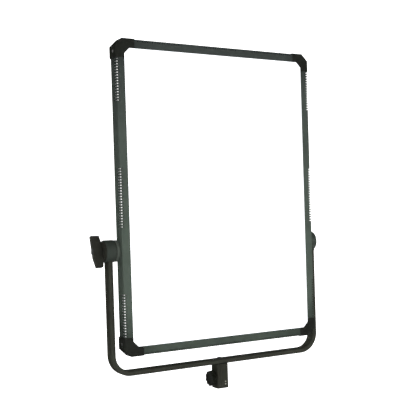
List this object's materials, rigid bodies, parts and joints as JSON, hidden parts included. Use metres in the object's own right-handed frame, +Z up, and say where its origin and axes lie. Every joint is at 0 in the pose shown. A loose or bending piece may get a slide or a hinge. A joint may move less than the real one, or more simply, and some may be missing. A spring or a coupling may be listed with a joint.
{
  "type": "led panel light",
  "caption": "Upright rectangular soft LED panel light in a slim vented frame, held on a U-shaped yoke with a tilt lock and a stand receiver.",
  "frame": {"origin": "centre of the mouth of the stand receiver's socket, at the underside of the receiver block", "axes": "+Z up along the socket; the lit face looks along -Y; +X to the right of someone facing the lit face, so the tilt lock handle is on the -X side"},
  "size_m": [0.5666, 0.0789, 0.7618],
  "materials": {
    "rail_paint": "fine satin powder coat, anthracite",
    "corner_paint": "moulded, fine texture, anthracite",
    "yoke_paint": "fine satin powder coat, charcoal",
    "housing_paint": "fine textured powder coat, charcoal",
    "diffuser": "opal white, lit from behind",
    "white_plastic": "white reflective plastic",
    "gasket": "matt black rubber",
    "aluminium": "mill finish sheet",
    "circuit_board": "white solder mask",
    "green_board": "green solder mask",
    "emitters": "phosphor-coated emitter strips",
    "black_screws": "black oxide",
    "zinc_screws": "zinc plated",
    "black_plastic": "black moulded plastic",
    "glass_window": "smoked clear plastic",
    "faceplate": "printed matt film on sheet",
    "steel": "turned steel",
    "friction": "fibre friction disc"
  },
  "bodies": {
    "yoke": {"yoke_tube": "yoke_paint", "yoke_lug_left": "yoke_paint", "yoke_lug_right": "yoke_paint", "pivot_cap_right": "black_plastic", "friction_discs": "friction", "receiver_block": "yoke_paint", "receiver_grub_screws": "zinc_screws", "receiver_bolt": "black_screws", "receiver_washer": "black_screws"},
    "tilt_lock": {"tilt_lock_handle": "black_plastic", "tilt_lock_cap": "black_plastic", "tilt_lock_stud": "steel"},
    "spigot_clamp": {"clamp_knob": "black_plastic", "clamp_screw": "steel"},
    "dimmer": {"dimmer_knob": "black_plastic", "dimmer_shaft": "steel"},
    "colour": {"colour_knob": "black_plastic", "colour_shaft": "steel"},
    "mode_key": {"mode_button": "black_plastic"},
    "menu_key": {"menu_button": "black_plastic"},
    "channel_key": {"channel_button": "black_plastic"},
    "rocker": {"power_rocker": "black_plastic"},
    "head": {"frame_rail_left": "rail_paint", "frame_rail_right": "rail_paint", "frame_rail_top": "rail_paint", "frame_rail_bottom": "rail_paint", "corner_cap_top_left": "corner_paint", "corner_cap_top_right": "corner_paint", "corner_cap_bottom_left": "corner_paint", "corner_cap_bottom_right": "corner_paint", "cap_screws": "black_screws", "diffuser_gasket": "gasket", "diffuser_panel": "diffuser", "diffuser_retainer": "white_plastic", "light_box_walls": "white_plastic", "led_boards": "circuit_board", "led_strips": "emitters", "back_plate": "aluminium", "rear_housing": "housing_paint", "housing_standoffs": "aluminium", "rear_screws": "black_screws", "driver_board": "green_board", "driver_components": "black_plastic", "control_box": "black_plastic", "control_faceplate": "faceplate", "control_box_screws": "black_screws", "display_window": "glass_window", "control_board": "green_board", "encoder_bodies": "black_plastic", "tact_switches": "black_plastic", "power_switch_frame": "black_plastic", "dc_inlet": "black_plastic", "data_sockets": "black_plastic", "pivot_bosses": "housing_paint", "pivot_spacers": "yoke_paint", "pivot_screws": "black_screws", "pivot_nut_plates": "steel", "pivot_bolt_right": "steel"}
  },
  "joints": [
    {"name": "panel_tilt", "type": "hinge", "parent": "yoke", "child": "head", "pos_m": [0, 0, 0.31965], "axis": [1, 0, 0], "range_deg": [-160, 160]},
    {"name": "tilt_lock_turn", "type": "hinge", "parent": "yoke", "child": "tilt_lock", "pos_m": [-0.286, 0, 0.31965], "axis": [1, 0, 0], "range_deg": [-20, 340]},
    {"name": "spigot_clamp_turn", "type": "hinge", "parent": "yoke", "child": "spigot_clamp", "pos_m": [-0.022, 0, 0.023], "axis": [1, 0, 0], "range_deg": [-20, 700]},
    {"name": "dimmer_turn", "type": "hinge", "parent": "head", "child": "dimmer", "pos_m": [0.072, 0.037, 0.261], "axis": [0, 1, 0], "continuous": true},
    {"name": "colour_turn", "type": "hinge", "parent": "head", "child": "colour", "pos_m": [-0.072, 0.037, 0.261], "axis": [0, 1, 0], "continuous": true},
    {"name": "power_rock", "type": "hinge", "parent": "head", "child": "rocker", "pos_m": [0.088, 0.03, 0.22], "axis": [1, 0, 0], "range_deg": [-14, 0]},
    {"name": "mode_press", "type": "slide", "parent": "head", "child": "mode_key", "axis": [0, -1, 0], "range_m": [0, 0.001], "stiffness_N_per_m": 300, "springref_m": -0.001},
    {"name": "menu_press", "type": "slide", "parent": "head", "child": "menu_key", "axis": [0, -1, 0], "range_m": [0, 0.001], "stiffness_N_per_m": 300, "springref_m": -0.001},
    {"name": "channel_press", "type": "slide", "parent": "head", "child": "channel_key", "axis": [0, -1, 0], "range_m": [0, 0.001], "stiffness_N_per_m": 300, "springref_m": -0.001}
  ]
}
